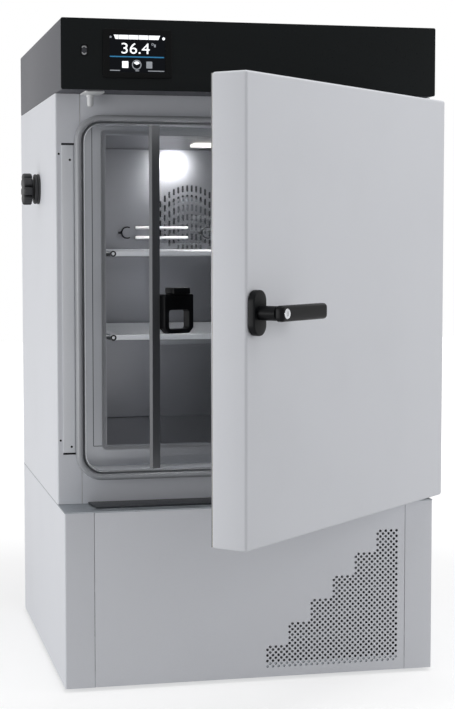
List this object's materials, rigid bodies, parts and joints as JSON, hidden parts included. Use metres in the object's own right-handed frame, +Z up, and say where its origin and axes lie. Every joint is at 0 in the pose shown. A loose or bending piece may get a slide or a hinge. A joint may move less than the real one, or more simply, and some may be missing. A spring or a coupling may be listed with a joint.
{
  "type": "refrigerated incubator",
  "caption": "Floor-standing refrigerated incubator: insulated cabinet on a machine base, control box on top, hinged outer door with lever handle, inner glass door.",
  "frame": {"origin": "on the floor under the middle of the casing: x and y at the middle of the casing's width and depth, z at the undersides of the feet", "axes": "+Z up; the doors face -Y; +X is the hinge side, on the right when seen from the front"},
  "size_m": [0.7069, 1.1473, 1.126],
  "materials": {
    "white_paint": "satin",
    "grey_paint": "satin",
    "graphite_paint": "satin",
    "stainless": "satin",
    "black_panel": "satin",
    "black_plastic": "satin",
    "dark_rubber": "matte",
    "silicone": "satin",
    "white_plastic": "satin",
    "glass": "gloss",
    "screen": "gloss",
    "lamp": "satin",
    "foam": "matte",
    "copper": "satin",
    "black_enamel": "satin",
    "aluminium": "satin",
    "board": "satin"
  },
  "bodies": {
    "cabinet": {"base_casing": "white_paint", "base_deck": "white_paint", "base_front_panel": "white_paint", "base_tray": "grey_paint", "foot_front_left": "dark_rubber", "foot_front_right": "dark_rubber", "foot_rear_left": "dark_rubber", "foot_rear_right": "dark_rubber", "power_inlet": "black_plastic", "compressor": "black_enamel", "condenser": "aluminium", "fan_shroud": "black_enamel", "condenser_fan_motor": "black_enamel", "suction_pipe": "copper", "cabinet_casing": "white_paint", "front_frame": "white_paint", "throat_lining": "stainless", "chamber_lip": "stainless", "chamber_liner": "stainless", "cabinet_insulation": "foam", "glass_seal": "silicone", "fan_baffle": "stainless", "evaporator": "aluminium", "heater_element": "black_enamel", "circulation_motor": "black_enamel", "rear_motor_cover": "white_paint", "chamber_lamp": "lamp", "probe_pair": "stainless", "shelf_rack_left": "stainless", "shelf_rack_right": "stainless", "door_gasket": "dark_rubber", "keeper_strip": "grey_paint", "drip_strip": "dark_rubber", "door_sensor": "white_plastic", "port_sleeve": "black_plastic", "lower_hinge_bracket": "stainless", "upper_hinge_bracket": "stainless", "control_casing": "graphite_paint", "control_fascia": "black_panel", "display_bezel": "black_panel", "display_screen": "screen", "service_socket": "black_plastic", "control_board": "board", "power_supply": "aluminium"},
    "outer_door": {"door_skin": "white_paint", "door_core": "foam", "door_inner_panel": "white_paint", "handle_plate": "black_plastic"},
    "lever": {"door_lever": "black_plastic"},
    "lock": {"lock_cylinder": "stainless"},
    "glass_door": {"glass_pane": "glass", "glass_edge_strip": "dark_rubber", "glass_pull": "black_plastic", "glass_hinge_upper": "stainless", "glass_hinge_lower": "stainless"},
    "plug": {"port_plug": "black_plastic"},
    "lower_shelf": {"lower_shelf": "stainless"},
    "upper_shelf": {"upper_shelf": "stainless"},
    "circulation_fan": {"circulation_fan": "black_plastic"},
    "condenser_fan": {"condenser_fan": "black_plastic"}
  },
  "joints": [
    {"name": "outer_door_hinge", "type": "hinge", "parent": "cabinet", "child": "outer_door", "pos_m": [0.315, -0.2738, 0.6567], "axis": [0, 0, 1], "range_deg": [-44.09, 75.91]},
    {"name": "glass_door_hinge", "type": "hinge", "parent": "cabinet", "child": "glass_door", "pos_m": [0.2405, -0.1841, 0.6673], "axis": [0, 0, 1], "range_deg": [-27, 46.5]},
    {"name": "lever_turn", "type": "hinge", "parent": "outer_door", "child": "lever", "pos_m": [-0.1027, -0.7358, 0.657], "axis": [0.6958, -0.7183, 0], "range_deg": [0, 90]},
    {"name": "lock_turn", "type": "hinge", "parent": "lever", "child": "lock", "pos_m": [-0.1027, -0.7358, 0.657], "axis": [0.6958, -0.7183, 0], "range_deg": [0, 90]},
    {"name": "port_plug_pull", "type": "slide", "parent": "cabinet", "child": "plug", "axis": [-1, 0, 0], "range_m": [0, 0.06]},
    {"name": "lower_shelf_slide", "type": "slide", "parent": "cabinet", "child": "lower_shelf", "axis": [0, -1, 0], "range_m": [0, 0.012]},
    {"name": "upper_shelf_slide", "type": "slide", "parent": "cabinet", "child": "upper_shelf", "axis": [0, -1, 0], "range_m": [0, 0.012]},
    {"name": "circulation_fan_spin", "type": "hinge", "parent": "cabinet", "child": "circulation_fan", "pos_m": [0.01, 0.2775, 0.799], "axis": [0, 1, 0], "continuous": true},
    {"name": "condenser_fan_spin", "type": "hinge", "parent": "cabinet", "child": "condenser_fan", "pos_m": [0.1375, -0.2547, 0.1283], "axis": [0, 1, 0], "continuous": true}
  ],
  "couplings": [
    {"joint": "glass_door_hinge", "follows": "outer_door_hinge", "ratio": 0.61238}
  ]
}
